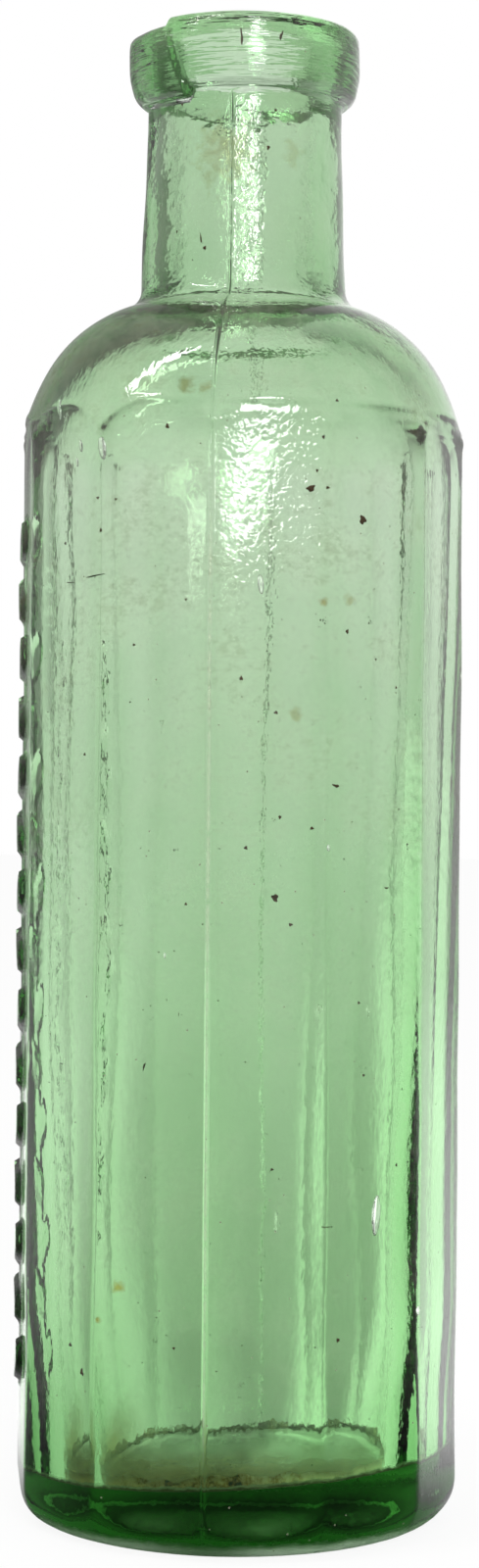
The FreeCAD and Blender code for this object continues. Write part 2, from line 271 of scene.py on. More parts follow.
def outlineRows():
    # the outline from the middle of the foot, up the outside, over the rim and down inside to the floor,
    # as runs of (zone, points), each point a radius and a height
    g = glass
    lowCentre, lowRadius = g["shoulderLow"]
    highCentre, highRadius = g["shoulderHigh"]
    join = g["shoulderJoin"]
    kickRadius, kickDepth = g["kick"]
    kickReach = np.linspace(0, kickRadius, 17)[1:]
    kick = np.stack([kickReach, kickDepth * np.cos(np.pi / 2 * kickReach / kickRadius) ** 2], 1)

    # the flare touches the neck and the shoulder's upper arc
    flareAcross = g["neckFoot"] + g["neckFlare"] - highCentre[0]
    flareUp = math.sqrt((highRadius + g["neckFlare"]) ** 2 - flareAcross**2)
    flareCentre = (highCentre[0] + flareAcross, highCentre[1] + flareUp)
    flareAngle = math.degrees(math.atan2(flareUp, flareAcross))

    # the cavity's shoulder is the same arcs less the wall, a little lower, and the bore's foot rounds into it
    wall = lowCentre[0] + lowRadius - g["cavityTop"]
    lowInside = (lowCentre[0], lowCentre[1] - g["shoulderDrop"])
    highInside = (highCentre[0], highCentre[1] - g["shoulderDrop"])
    boreAcross = g["bore"] + g["boreFootRound"] - highInside[0]
    boreUp = math.sqrt((highRadius - wall + g["boreFootRound"]) ** 2 - boreAcross**2)
    boreCentre = (highInside[0] + boreAcross, highInside[1] + boreUp)
    boreAngle = math.degrees(math.atan2(boreUp, boreAcross))

    lipRound = (g["lip"] - g["lipFootRound"], g["lipFoot"] + g["lipFootRound"])
    fillet = (g["neckTop"] + g["lipFillet"], g["lipFoot"] - g["lipFillet"])
    rimRound = (g["lip"] - g["lipTopRound"], g["height"] - g["lipTopRound"])
    mouthRound = (g["mouth"] + g["mouthRound"], g["height"] - g["mouthRound"])
    floorRound = (g["cavityFoot"] - g["floorRound"], g["floor"] + g["floorRound"])
    return [
        ("foot", kick),
        ("foot", straightRun((kickRadius, 0), (g["foot"], 0), 3)),
        ("heel", sweepArc((g["foot"], g["heel"]), g["heel"], -90, 0, 12)),
        ("panel", straightRun((g["foot"] + g["heel"], g["heel"]),
                              (lowCentre[0] + lowRadius, lowCentre[1]), 250)),
        ("shoulder", sweepArc(lowCentre, lowRadius, 0, join, 56)),
        ("shoulder", sweepArc(highCentre, highRadius, join, flareAngle, 18)),
        ("neck", sweepArc(flareCentre, g["neckFlare"], 180 + flareAngle, 180, 8)),
        ("neck", straightRun((g["neckFoot"], flareCentre[1]), (g["neckTop"], g["neckTaperTop"]), 26)),
        ("neck", straightRun((g["neckTop"], g["neckTaperTop"]), (g["neckTop"], fillet[1]), 4)),
        ("lip", sweepArc(fillet, g["lipFillet"], 180, 90, 6)),
        ("lip", straightRun((fillet[0], g["lipFoot"]), (lipRound[0], g["lipFoot"]), 2)),
        ("lip", sweepArc(lipRound, g["lipFootRound"], -90, 0, 10)),
        ("lip", straightRun((g["lip"], lipRound[1]), (g["lip"], rimRound[1]), 8)),
        ("lip", sweepArc(rimRound, g["lipTopRound"], 0, 90, 7)),
        ("lip", straightRun((rimRound[0], g["height"]), (mouthRound[0], g["height"]), 4)),
        ("bore", sweepArc(mouthRound, g["mouthRound"], 90, 180, 5)),
        ("bore", straightRun((g["mouth"], mouthRound[1]), (g["bore"], g["mouthFoot"]), 12)),
        ("bore", straightRun((g["bore"], g["mouthFoot"]), (g["bore"], boreCentre[1]), 10)),
        ("bore", sweepArc(boreCentre, g["boreFootRound"], 180, 180 + boreAngle, 12)),
        ("cavity", sweepArc(highInside, highRadius - wall, boreAngle, join, 12)),
        ("cavity", sweepArc(lowInside, lowRadius - wall, join, 0, 10)),
        ("cavity", straightRun((g["cavityTop"], lowInside[1]), (g["cavityFoot"], floorRound[1]), 34)),
        ("floor", sweepArc(floorRound, g["floorRound"], 0, -90, 8)),
        ("floor", straightRun((floorRound[0], g["floor"]), (0, g["floor"]), 6)[:-1]),
    ]


def columnAngles():
    # six-degree steps, closer at panel edges and seams, across the sprigs and at the lap's end
    corners = np.arange(-180, 180, 360 / glass["panels"])[:, None]
    edges = corners + np.array([-1.1, -0.4, 0.4, 1.1])
    plain = corners + np.arange(3, 28, 6)
    across = np.array([sprig["panel"] for sprig in sprigs])[:, None] + np.arange(-10, 11) * 0.7
    lapEnd = np.arange(-42, -19, 1.6)
    seam = np.array([[-180], [0]]) + np.array([-0.7, -0.2, 0, 0.2, 0.7])
    every = np.concatenate([edges.ravel(), plain.ravel(), across.ravel(), seam.ravel(), lapEnd])
    every = (every + 180) % 360 - 180
    return np.unique(np.round(every, 4))


def floorLift(points, height):
    # how much the floor inside stands above its level, fading out up the wall
    lift = glass["floorTilt"] * points[..., 0] - glass["floorPitch"] * points[..., 1]
    return lift / glass["cavityFoot"] * (1 - smoothStep(height, 9.0, 30.0))


def glassSkin():
    # radius and height over a grid of outline rows and columns round the axis
    runs = outlineRows()
    zone = np.concatenate([[name] * len(points) for name, points in runs])
    outline = np.concatenate([points for _, points in runs])
    around = columnAngles()[None, :]
    radius = outline[:, 0:1] + 0 * around
    height = outline[:, 1:2] + 0 * around
    inZone = {name: (zone == name)[:, None] for name in dict.fromkeys(zone)}
    sided = inZone["heel"] | inZone["panel"] | inZone["shoulder"]
    outside = sided | inZone["neck"]

    # panels, flat but for a slight crown, under the turned outline; the seams at front and back, the sprigs
    panelWide = 360 / glass["panels"]
    fromMiddle = around % panelWide - panelWide / 2
    crown = glass["panelCrown"] * np.cos(np.radians(180 / panelWide * fromMiddle)) ** 2
    plan = panelRadius(around) + crown * smoothStep(height, glass["heel"], 12)
    arch = np.exp(-((radius - plan) / glass["beadWide"]) ** 2)
    bead = glass["archBead"] * arch * smoothStep(height, 109, 113)
    faceted = 1 + smoothStep(height, 0, glass["heel"]) * (plan / (glass["foot"] + glass["heel"]) - 1)
    radius = np.where(inZone["heel"], radius * faceted, radius)
    flatSided = inZone["panel"] | inZone["shoulder"]
    radius = np.where(flatSided, softMin(radius, plan, glass["archRound"]) + bead, radius)
    fromSeam = radius * np.radians((around + 90) % 180 - 90)
    ridge = glass["seamRidge"] * np.exp(-(fromSeam / glass["seamWidth"]) ** 2)
    valley = glass["seamValley"] * np.exp(-(fromSeam / (5 * glass["seamWidth"])) ** 2)
    radius = radius + outside * (ridge - valley) * smoothStep(height, 1, 4)
    for sprig in sprigs:
        radius = radius + inZone["panel"] * sprigHeight(around, height, sprig)

    # hand work: the outside wandering a little, the bore more
    radius = radius + sided * ripple(around, height, waves["outside"])
    radius = radius + inZone["neck"] * ripple(around, height, waves["neck"])
    radius = np.where(sided, np.minimum(radius, glass["widest"]), radius)
    radius = radius + inZone["bore"] * ripple(around, height, waves["bore"])

    # the cavity: oval and wandering, its wall thinner at the left, and at the right thinner by the floor and
    # thicker above it
    oval = ripple(around, height, waves["oval"])
    leftSide = np.clip(np.cos(np.radians(around + 82)), 0, 1) ** 2
    rightSide = np.clip(np.cos(np.radians(around - 80)), 0, 1) ** 2
    risen = smoothStep(height, 12, 38)
    leftOut = smoothStep(height, 7, 18) * (1 - smoothStep(height, 20, 125))
    rightOut = glass["rightThinner"] * smoothStep(height, 7, 14) * (1 - risen)
    rightIn = glass["rightThicker"] * risen * (1 - smoothStep(height, 60, 100))
    oval = oval + glass["leftThinner"] * leftSide * leftOut
    oval = oval + rightSide * (rightOut - rightIn)
    uneven = inZone["cavity"] * (oval + ripple(around, height, waves["cavity"])) * smoothStep(height, 9, 24)
    radius = radius + uneven * (1 - smoothStep(height, 112, 126))

    # the lip's free end laps over its start: proud and low there, the rim dropping over it
    end = np.interp(height, [glass["lipFoot"], glass["height"]], [lap["endFoot"], lap["endTop"]])
    past = end - around
    onLap = inZone["lip"] * smoothStep(past, -0.6, 1.2)
    onLap = onLap * (1 - smoothStep(past, 0.35 * lap["run"], lap["run"]))
    up = (height - glass["lipFoot"]) / (glass["height"] - glass["lipFoot"])
    outer = smoothStep(radius, glass["neckTop"], glass["lip"] - 0.3)
    radius = radius + onLap * outer * lap["proud"] * (1 - smoothStep(up, 0.75, 1.0))
    height = height - onLap * lap["sag"] * (1 - smoothStep(up, 0.0, 0.55))
    height = height - onLap * lap["drop"] * smoothStep(up, 0.55, 0.95)
    lipWave = ripple(around, height, waves["lip"])
    barrel = glass["lipBarrel"] * (2 * up - 1) ** 2 + glass["lipTuck"] * (1 - smoothStep(up, 0.0, 0.42))
    radius = radius + inZone["lip"] * outer * (lipWave - glass["lipInset"] - barrel)

    points = turnedPoint(around, radius, height)
    inner = inZone["cavity"] | inZone["floor"]
    points[..., 2] += inner * floorLift(points, height)
    inside = (inner | inZone["bore"]) * np.ones_like(radius)
    return points, inside


def outsideRadius(around, height):
    # the turned outline's radius at a height, cut back to the flat panels
    outside = ("heel", "panel", "shoulder", "neck", "lip")
    outline = np.concatenate([points for zone, points in outlineRows() if zone in outside])
    return np.minimum(np.interp(height, outline[:, 1], outline[:, 0]), panelRadius(around))


def beads(rows, thick, lumps, hollow):
    # balls stretched along three axes each: across, outwards and up, the first and last turned by a lean.
    # Lumps is how uneven they are, and hollow ones face their own middles
    turns, rings = 14, 9
    around, height, depth, wide, long, lean = np.array(rows).T
    turn = np.linspace(0, 2 * np.pi, turns, endpoint=False)[None, :]
    tip = np.linspace(0, np.pi, rings + 2)[1:-1, None]
    ball = [np.sin(tip) * np.cos(turn), np.sin(tip) * np.sin(turn), np.cos(tip)]
    ball = np.stack(np.broadcast_arrays(*ball), -1).reshape(-1, 3)
    ball = np.concatenate([ball, [[0, 0, 1.0], [0, 0, -1.0]]])
    bearing = np.arctan2(ball[:, 2], ball[:, 0])[None, :]
    number = np.arange(len(rows))[:, None]
    uneven = 1 + lumps * (np.sin(3 * bearing + 1.7 * number) + 0.7 * np.sin(5 * bearing + 2.9 * number))

    acrossWay = turnedPoint(around + 90, 1.0, 0.0)
    outWay = turnedPoint(around, 1.0, 0.0)
    upWay = np.array([0, 0, 1.0])
    cos, sin = np.cos(np.radians(lean))[:, None], np.sin(np.radians(lean))[:, None]
    axes = np.stack([(acrossWay * cos + upWay * sin) * wide[:, None], outWay * (thick * wide)[:, None],
                     (upWay * cos - acrossWay * sin) * long[:, None]], 1)
    middle = turnedPoint(around, outsideRadius(around, height) - depth, height)
    points = middle[:, None, :] + (ball * uneven[..., None]) @ axes

    last = turns * rings
    quads = gridFaces(rings, turns)
    caps = np.concatenate([fanFaces(last, np.arange(turns), inwards=True),
                           fanFaces(last + 1, np.arange(last - turns, last), inwards=False)])
    if not hollow:
        quads, caps = quads[:, ::-1], caps[:, ::-1]
    step = number[..., None] * len(ball)
    return points.reshape(-1, 3), (quads + step).reshape(-1, 4), (caps + step).reshape(-1, 3)


seeds = [  # bubbles: degrees round, height, depth under the outside, half width, half length, lean
    (47.3, 34.4, 1.3, 0.55, 2.1, -4), (-39.3, 113.0, 1.2, 0.28, 0.65, 12), (-41.0, 111.4, 1.2, 0.22, 0.5, 12),
    (-30.5, 112.5, 1.0, 0.4, 1.2, 8), (12.5, 98.5, 0.9, 0.3, 1.0, 6), (-52.0, 117.0, 2.5, 0.3, 0.9, 10),
    (31.0, 72.0, 1.6, 0.14, 0.35, 0), (-12.0, 61.0, 1.4, 0.12, 0.3, 0), (63.0, 24.0, 1.5, 0.16, 0.5, 0),
    (140.0, 52.0, 1.4, 0.3, 1.1, 5), (-150.0, 84.0, 1.2, 0.25, 0.8, -5), (95.0, 90.0, 1.3, 0.2, 0.6, 0),
    (170.0, 28.0, 1.6, 0.35, 1.3, -3), (-128.0, 104.0, 1.1, 0.2, 0.5, 0), (118.0, 70.0, 1.2, 0.16, 0.4, 0),
]
stains = [  # dried on the outside: degrees round, height, reach, what light through it keeps
    (-23.1, 27.3, 0.9, (0.80, 0.36, 0.08, 1)), (-28.7, 23.9, 0.5, (0.70, 0.30, 0.10, 1)),
    (28.1, 96.9, 0.7, (0.55, 0.32, 0.14, 1)), (35.7, 97.1, 0.9, (0.62, 0.50, 0.34, 1)),
    (21.4, 85.5, 0.9, (0.62, 0.50, 0.34, 1)), (-7.0, 118.6, 1.2, (0.50, 0.36, 0.20, 1)),
    (-1.8, 118.3, 0.9, (0.55, 0.42, 0.24, 1)), (2.8, 145.2, 1.3, (0.50, 0.40, 0.30, 1)),
    (-4.0, 144.5, 4.5, (0.74, 0.64, 0.50, 1)), (36.8, 144.6, 1.8, (0.78, 0.70, 0.58, 1)),
]


def glassMaterial():
    look = {
        "ior": 1.52, "tint": (0.08, 0.53, 0.01, 1), "density": 128.0,  # absorbs density * (1 - tint) a metre
        "polish": 0.012, "footWear": 0.9,  # roughness, and what wear adds to it
        "reliefTall": 0.02, "whittle": 1.5, "seamCrinkle": 12.0, "boreCrinkle": 6.0, "toolMarks": 12.0,
        "haze": (0.74, 0.78, 0.60, 1), "hazeLow": 0.04, "hazeUp": 0.09,
        "smear": (0.34, 0.32, 0.20, 1), "smearShare": 0.14, "paintedSeamGlint": 0.25,
        "dirt": (0.05, 0.035, 0.015, 1), "specks": 0.8, "cornerDirt": 0.95, "film": (0.32, 0.22, 0.10, 1),
    }
    material, paint = newMaterial("lightGreenGlass")
    place = paint.node("TexCoord", out="Object")
    split = paint.node("SeparateXYZ", sockets={0: place})
    height = split.other("Z")
    inside = paint.node("Attribute", {"attribute_name": "inside"}, out="Fac")
    airSide = 1 - paint.node("NewGeometry", out="Backfacing")

    # orange-peel grain drawn out upwards, rougher at the front below the shoulder
    drawn = paint.stretch(place, (1, 1, 0.4))
    whittled = paint.fade(height, 84 * mm, 104 * mm)
    whittled = whittled * paint.fade(0 - split.other("Y") + split * 0.3, 18 * mm, 23 * mm)
    grain = paint.speckle(drawn, 0.5, detail=1.5) * 0.8 + paint.speckle(place, 1.5, detail=1.0)
    grain = grain + paint.speckle(place, 0.6, detail=1.5) * whittled * look["whittle"]

    # the neck is crinkled beside the front seam and in the bore, and the lip has the tool's marks round it
    neck = paint.fade(height, 122 * mm, 131 * mm)
    lip = paint.fade(height, 149 * mm, 151 * mm)
    front = paint.fade(0 - split.other("Y"), 0.0, 3 * mm)
    besideSeam = front * (1 - paint.fade(paint.maths("ABSOLUTE", split - 0.9 * mm), 1.2 * mm, 3.4 * mm))
    seamCrinkle = neck * besideSeam * (1 - inside) * (1 - lip) * paint.speckle(place, 0.9, detail=2.0)
    boreCrinkle = neck * inside * paint.speckle(place, 1.1, detail=1.5)
    crinkle = seamCrinkle * look["seamCrinkle"] + boreCrinkle * look["boreCrinkle"]
    turned = paint.stretch(place, (0.2, 0.2, 1.6))
    toolMarks = lip * (1 - inside) * paint.speckle(turned, 0.9, detail=2.0) * look["toolMarks"]
    relief = (grain * (1 - inside * 0.4) + crinkle) * (1 - lip * 0.3) + toolMarks
    bump = paint.node("Bump", {}, {"Strength": 1.0, "Distance": look["reliefTall"] * mm, "Height": relief})

    # thin haze on both faces, heavier up the body, with fine specks of dirt, and wiped smears on the outside
    cloud = paint.speckle(place, 9.0, detail=6.0, roughness=0.65)
    fine = paint.speckle(place, 1.1, detail=4.0)
    upper = paint.fade(height, 45 * mm, 115 * mm) * (1 - neck * 0.6)
    haze = paint.fade(cloud + fine * 0.35, 0.35, 0.95) * (upper * look["hazeUp"] + look["hazeLow"])
    haze = haze * airSide * paint.fade(height, 8 * mm, 30 * mm)
    spot = paint.node("TexVoronoi", {}, {"Vector": place, "Scale": 1 / (2.2 * mm)}, out="Distance")
    specks = (1 - paint.fade(spot, 0.03, 0.055)) * look["specks"]
    onBody = paint.fade(height, 9 * mm, 16 * mm) * (1 - paint.fade(height, 98 * mm, 112 * mm))
    # painted highlight: a pale dust-coloured strip along the seam ridge up the body, standing in for the
    # seam's glints
    paintedSeamGlint = (1 - paint.fade(paint.maths("ABSOLUTE", split), 0.1 * mm, 0.24 * mm)) * (1 - inside)
    paintedSeamGlint = paintedSeamGlint * paint.fade(fine, 0.25, 0.6) * airSide * onBody * look["paintedSeamGlint"]
    wiped = paint.speckle(paint.stretch(place, (1, 1, 1.5)), 1.2, detail=5.0, roughness=0.7)
    smear = paint.fade(wiped + cloud * 0.7, 0.82, 1.1) * airSide
    smear = smear * (upper * 0.65 + onBody * 0.35) * (1 - inside) * look["smearShare"]

    # black dirt in the corner between floor and wall
    wallFoot, floor = glass["cavityFoot"], glass["floor"]
    aboveFloor = height - split * (glass["floorTilt"] / wallFoot)
    aboveFloor = aboveFloor + split.other("Y") * (glass["floorPitch"] / wallFoot) + fine * (0.7 * mm)
    fromAxis = paint.maths("SQRT", split * split + split.other("Y") * split.other("Y"))
    cornerDirt = inside * paint.fade(fromAxis, (wallFoot - 0.9) * mm, (wallFoot - 0.3) * mm)
    cornerDirt = cornerDirt * (1 - paint.fade(aboveFloor, (floor + 0.5) * mm, (floor + 1.0) * mm))
    marks = paint.maths("MAXIMUM", specks, cornerDirt * look["cornerDirt"])

    # the foot is worn dull where it stands
    worn = (1 - paint.fade(height + fine * (0.8 * mm), 1.3 * mm, 3.0 * mm)) * (1 - inside)

    # a brown film up the wall inside from the floor, most of it front and left, and the stains
    low = 1 - paint.fade(height + fine * (2 * mm), 7.0 * mm, 12.5 * mm)
    forward = paint.fade(0 - split.other("Y") - split * 0.8, -8 * mm, 12 * mm)
    tint = paint.mixColour(inside * low * forward, (1, 1, 1, 1), look["film"])
    for around, up, reach, kept in stains:
        middle = tuple(turnedPoint(around, outsideRadius(around, up), up) * mm)
        away = paint.node("VectorMath", {"operation": "DISTANCE"}, {0: place, 1: middle}, out="Value")
        ragged = away + (fine - 0.5) * (2.2 * reach * mm)
        tint = paint.mixColour(1 - paint.fade(ragged, 0.1 * reach * mm, reach * mm), tint, kept)
    clear = paint.node("BsdfPrincipled", {}, {
        "Base Color": tint, "Roughness": look["polish"] + worn * look["footWear"], "IOR": look["ior"],
        "Transmission Weight": 1.0, "Normal": bump})
    dustColour = paint.mixColour(paint.fade(smear, 0.01, 0.1), look["haze"], look["smear"])
    dust = paint.node("BsdfPrincipled", {}, {
        "Base Color": paint.mixColour(marks, dustColour, look["dirt"]),
        "Roughness": 0.85, "Specular IOR Level": 0.1})
    covered = paint.maths("MAXIMUM", haze + smear + paintedSeamGlint, marks)
    surface = paint.node("MixShader", {}, {0: covered, 1: clear, 2: dust})
    volume = paint.node("VolumeAbsorption", {}, {"Color": look["tint"], "Density": look["density"]})
    paint.node("OutputMaterial", {}, {"Surface": surface, "Volume": volume})
    return material


def makeBottle():
    points, inside = glassSkin()
    rows, columns = inside.shape
    skin = points.reshape(-1, 3)
    footMiddle = [[0, 0, glass["kick"][1]]]
    floorMiddle = [[0, 0, glass["floor"]]]
    count = len(skin)
    shells, shellQuads, shellCaps = beads(seeds, thick=0.6, lumps=0.0, hollow=True)
    every = np.concatenate([skin, footMiddle, floorMiddle, shells])
    ring = np.arange(columns)
    faceSets = [
        gridFaces(rows, columns),
        fanFaces(count, ring, inwards=True),
        fanFaces(count + 1, ring + count - columns, inwards=False),
        shellQuads + count + 2,
        shellCaps + count + 2,
    ]
    bottle = newPiece("bottle_glass", every, faceSets, glassMaterial())
    addAttribute(bottle, "inside", np.concatenate([inside.ravel(), [0, 1], np.zeros(len(shells))]))
    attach(bottle, "root")
    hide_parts("bottle_body", "applied_lip")
    print(f"bottle glass: {len(every)} points, {rows} rows and {columns} columns")


makeBottle()


# The dried contents on the floor, banked up in its corner

sediment = {
    "gap": 0.04, "thin": 0.06, "bank": 1.5, "bankWide": 1.3,  # gap to the glass, thickness, the bank's size
    "lumps": [(-146.5, 0.16), (-158.0, 0.1), (-175.0, 0.16)],  # dabs at the back: degrees round, size
    "waves": [(0.3, 7, 1, 10), (0.25, 13, 1, 70), (0.2, 29, 1, 130), (0.15, 47, 1, 15)],  # the ragged edge
}


def sedimentMaterial():
    look = {
        "front": (0.70, 0.58, 0.36, 1), "back": (0.70, 0.72, 0.56, 1), "backCover": 0.13, "frontCover": 0.5,
        "bank": [(0.38, (0.012, 0.008, 0.004, 1)), (0.46, (0.45, 0.27, 0.10, 1)),
                 (0.60, (0.95, 0.84, 0.60, 1))],  # black, brown and cream
    }
    material, paint = newMaterial("driedSediment")
    place = paint.node("TexCoord", out="Object")
    split = paint.node("SeparateXYZ", sockets={0: place})
    clump = paint.speckle(place, 1.6, detail=5.0)
    fleck = paint.speckle(place, 0.35, detail=3.0)
    cloud = paint.speckle(place, 6.0, detail=4.0)
    bank = paint.node("Attribute", {"attribute_name": "bank"}, out="Fac")
    front = paint.fade(0 - split.other("Y") + cloud * 0.006, -9 * mm, 15 * mm)
    aside = paint.fade(paint.maths("ABSOLUTE", split), 3 * mm, 12 * mm)
    tone = clump * 0.6 + fleck * 0.4 + aside * 0.16
    bankColour = paint.node("ValToRGB", {"stops": look["bank"]}, {"Fac": tone})
    layer = paint.mixColour(front, look["back"], look["front"])
    cover = paint.fade(cloud + fleck * 0.4, 0.2, 0.9) * (look["backCover"] + front * look["frontCover"])
    lumpy = clump + fleck * 0.5
    bump = paint.node("Bump", {}, {"Strength": 0.8, "Distance": 0.12 * mm, "Height": lumpy})
    surface = paint.node("BsdfPrincipled", {}, {
        "Base Color": paint.mixColour(bank, layer, bankColour), "Roughness": 0.75 + fleck * 0.2,
        "Alpha": paint.maths("MAXIMUM", cover, bank * 0.97), "Specular IOR Level": 0.2, "Normal": bump})
    paint.node("OutputMaterial", {}, {"Surface": surface})
    return material


def makeSediment():
    # a thin layer over the floor as a closed shell: its underside follows the floor and the corner's
    # rounding, and its top lies on that by a thickness that swells to a ragged bank at the wall
    floorRound, columns = glass["floorRound"], 240
    around = np.linspace(-180, 180, columns, endpoint=False)[None, :]
    wander = ripple(around, 0 * around, sediment["waves"])
    frontness = 0.5 + 0.5 * np.cos(np.radians(around + 12))
    rim = glass["cavityFoot"] - sediment["gap"]
    share = np.concatenate([np.linspace(0.06, 0.86, 9), np.linspace(0.88, 1.0, 13)])[:, None]
    radius = rim * share + 0 * around
    flat = glass["cavityFoot"] - floorRound
    up = floorRound - np.sqrt(floorRound**2 - np.clip(radius - flat, 0, None) ** 2)
    bottom = glass["floor"] + sediment["gap"]
    under = bottom + up
    fromWall = (rim - radius) / (sediment["bankWide"] * (0.45 + 0.55 * frontness + 0.3 * wander))
    bank = np.exp(-np.clip(fromWall, 0, None) ** 1.4)
    tall = sediment["bank"] * np.clip(0.12 + 0.7 * frontness + 0.45 * wander, 0.06, 1.1)
    for middle, size in sediment["lumps"]:
        tall = tall + 3.5 * size * np.exp(-((around - middle) / (14 * size)) ** 2)
    top = under + sediment["thin"] + tall * bank
    radius = np.concatenate([radius, radius[::-1]])
    height = np.concatenate([under, top[::-1]])
    points = turnedPoint(around, radius, height)
    points[..., 2] += floorLift(points, height)
    skin = points.reshape(-1, 3)
    middles = [[0, 0, bottom], [0, 0, bottom + sediment["thin"]]]
    count, ring = len(skin), np.arange(columns)
    faceSets = [gridFaces(len(radius), columns), fanFaces(count, ring, inwards=True),
                fanFaces(count + 1, ring + count - columns, inwards=False)]
    piece = newPiece("dried_sediment", np.concatenate([skin, middles]), faceSets, sedimentMaterial())
    heaped = np.clip(bank * np.clip(0.25 + frontness + 0.6 * wander, 0, 1.2), 0, 1)
    addAttribute(piece, "bank", np.concatenate([heaped.ravel(), heaped[::-1].ravel(), [0, 0]]))
    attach(piece, "root")
    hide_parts("dried_crust")
    print("dried sediment made")


makeSediment()


# Specks of dirt stuck to the glass

flecks = [  # degrees round, height, depth, half width, half length, lean
    (24.8, 108.2, 0, 0.45, 0.32, 20), (39.6, 105.3, 0, 0.40, 0.44, 0), (31.8, 117.2, 0, 0.16, 0.14, 0),
    (27.8, 113.4, 0, 0.15, 0.20, 0), (26.3, 110.0, 0, 0.12, 0.16, 0), (28.9, 108.3, 0, 0.20, 0.14, 0),
    (-11.6, 114.4, 0, 0.18, 0.26, 15), (-30.5, 107.4, 0, 0.18, 0.14, 0), (-25.5, 107.2, 0, 0.16, 0.12, 0),
    (-29.5, 104.1, 0, 0.15, 0.20, 0), (-44.4, 103.1, 0, 0.18, 0.16, 0), (-6.2, 96.9, 0, 0.12, 0.14, 0),
    (-20.3, 92.4, 0, 0.16, 0.12, 0), (7.7, 89.0, 0, 0.18, 0.22, 0), (34.9, 93.9, 0, 0.18, 0.22, 0),
    (44.2, 91.2, 0, 0.12, 0.12, 0), (51.0, 88.4, 0, 0.12, 0.15, 0), (16.5, 85.6, 0, 0.20, 0.16, 0),
    (31.7, 78.3, 0, 0.42, 0.14, -12), (17.7, 75.1, 0, 0.15, 0.18, 0), (25.7, 74.0, 0, 0.20, 0.15, 0),
    (9.2, 72.0, 0, 0.18, 0.18, 0), (16.6, 67.0, 0, 0.32, 0.38, 10), (20.6, 64.3, 0, 0.20, 0.16, 0),
    (-5.6, 66.3, 0, 0.14, 0.14, 0), (71.9, 71.5, 0, 0.09, 0.5, 0), (48.4, 67.9, 0, 0.30, 0.08, 0),
    (39.5, 56.3, 0, 0.15, 0.13, 0), (-35.2, 81.3, 0, 0.18, 0.14, 0), (-16.6, 49.8, 0, 0.1, 0.42, -18),
    (41.2, 48.9, 0, 0.14, 0.14, 0), (16.4, 39.7, 0, 0.15, 0.13, 0), (52.3, 39.5, 0, 0.14, 0.18, 0),
    (-7.9, 21.6, 0, 0.14, 0.12, 0), (33.7, 22.3, 0, 0.20, 0.22, 0), (-39.3, 20.7, 0, 0.24, 0.20, 0),
    (-34.2, 18.2, 0, 0.24, 0.38, 20), (21.2, 144.9, 0, 0.16, 0.24, -15), (25.6, 148.9, 0, 0.14, 0.16, 0),
    (-16.9, 135.4, 0, 0.09, 0.5, 8), (-14.5, 134.4, 0, 0.18, 0.2, 0), (-33.0, 136.4, 0, 0.1, 0.14, 0),
    (5.7, 156.0, 0.25, 0.12, 0.9, 4), (25.4, 156.3, 0.25, 0.14, 0.5, -20), (-31.6, 149.8, 0, 0.14, 0.16, 0),
    (-42.1, 99.0, 0, 0.7, 0.04, -4), (-31.3, 99.5, 0, 1.1, 0.04, 7),
    (150.0, 96.0, 0, 0.22, 0.26, 0), (-160.0, 70.0, 0, 0.18, 0.15, 0), (112.0, 44.0, 0, 0.2, 0.14, 0),
    (176.0, 33.0, 0, 0.3, 0.22, 10), (-120.0, 62.0, 0, 0.14, 0.14, 0), (95.0, 112.0, 0, 0.2, 0.24, 0),
]


def fleckMaterial():
    look = {"dark": (0.012, 0.009, 0.006, 1), "pale": (0.09, 0.06, 0.03, 1), "grit": 0.15}
    material, paint = newMaterial("dirtFlecks")
    place = paint.node("TexCoord", out="Object")
    colour = paint.mixColour(paint.speckle(place, look["grit"]), look["dark"], look["pale"])
    surface = paint.node("BsdfPrincipled", {}, {
        "Base Color": colour, "Roughness": 0.85, "Specular IOR Level": 0.2})
    paint.node("OutputMaterial", {}, {"Surface": surface})
    return material


def makeFlecks():
    points, quads, caps = beads(flecks, thick=0.3, lumps=0.2, hollow=False)
    piece = newPiece("dirt_flecks", points, [quads, caps], fleckMaterial())
    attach(piece, "root")
    print(f"dirt flecks: {len(flecks)}")


makeFlecks()


# Floor, light and camera

room = {  # the table, and how much brighter or dimmer than white the glass shows it and the walls
    "tableHalf": 3.0, "tableColour": (0.93, 0.93, 0.92, 1), "wallLight": 0.8,
    "rightGlow": 1.7, "leftGlow": 0.7, "behindShade": 0.45, "leftShade": 0.75,  # on the table
    "frontNear": 0.06, "frontFar": 0.16,  # painted shade: how bright reflections show the table in front, near and further off
    "overheadShade": 0.4, "frontWallShade": 0.82, "leftWallShade": 0.7, "aloftShade": 0.5,
}


def rayKinds(paint):
    # rays straight from the camera, and rays that come by way of glass or a reflection
    path = paint.node("LightPath", out="Is Camera Ray")
    return path, paint.maths("MAXIMUM", path.other("Is Glossy Ray"), path.other("Is Transmission Ray"))


def tableGlow(paint, place, reach, byGlass, turnedBack):
    # the table as the glass shows it: near the bottle brighter at both sides and shaded straight behind, and
    # further off dim at the left for light that the glass has turned back
    right = paint.fade(place / reach, 0.05, 0.38)
    left = paint.fade(0 - place / reach, 0.1, 0.5)
    near = 1 - paint.fade(reach, 0.1, 0.9)
    sides = near * (room["rightGlow"] * right + room["leftGlow"] * left)
    behind = (1 - paint.fade(reach, 0.08, 0.5)) * (1 - right) * (1 - left) * room["behindShade"]
    aside = paint.fade(0 - place / reach, 0.12, 0.3) * (1 - paint.fade(0 - place / reach, 0.7, 0.85))
    dim = aside * paint.fade(reach, 0.3, 0.9) * turnedBack * room["leftShade"]
    return (1 + byGlass * (sides - behind)) * (1 - dim)


